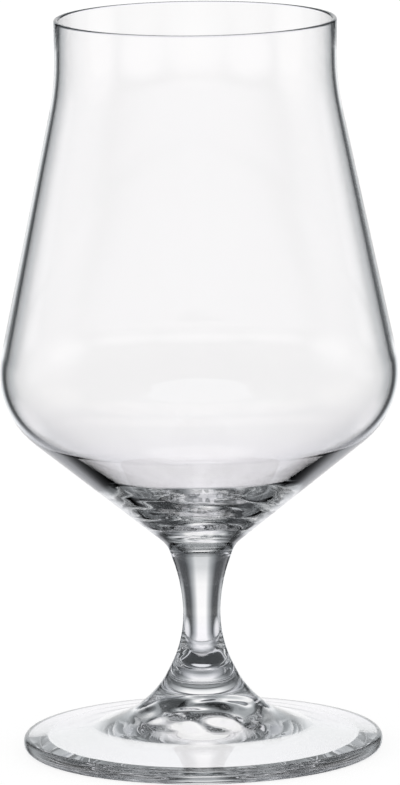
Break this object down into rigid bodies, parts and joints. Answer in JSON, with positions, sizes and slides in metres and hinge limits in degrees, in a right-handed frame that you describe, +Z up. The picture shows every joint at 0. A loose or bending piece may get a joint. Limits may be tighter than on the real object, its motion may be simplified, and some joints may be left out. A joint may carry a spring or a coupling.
{
  "type": "brandy snifter",
  "caption": "Clear short-stemmed brandy snifter: tapered blown bowl with a wide low belly and heavy heel, fused to a solid waisted stem and a round flared foot.",
  "frame": {"origin": "centre of the circle that the foot stands on, in the plane of the table", "axes": "+Z up along the glass's axis, from the foot to the lip; the glass is round, so +X and +Y are free"},
  "size_m": [0.0902, 0.0902, 0.167],
  "materials": {
    "clear_glass": "fire-polished, colourless and fully clear"
  },
  "bodies": {
    "root": {"bowl": "clear_glass", "stem": "clear_glass", "foot": "clear_glass"}
  },
  "joints": []
}
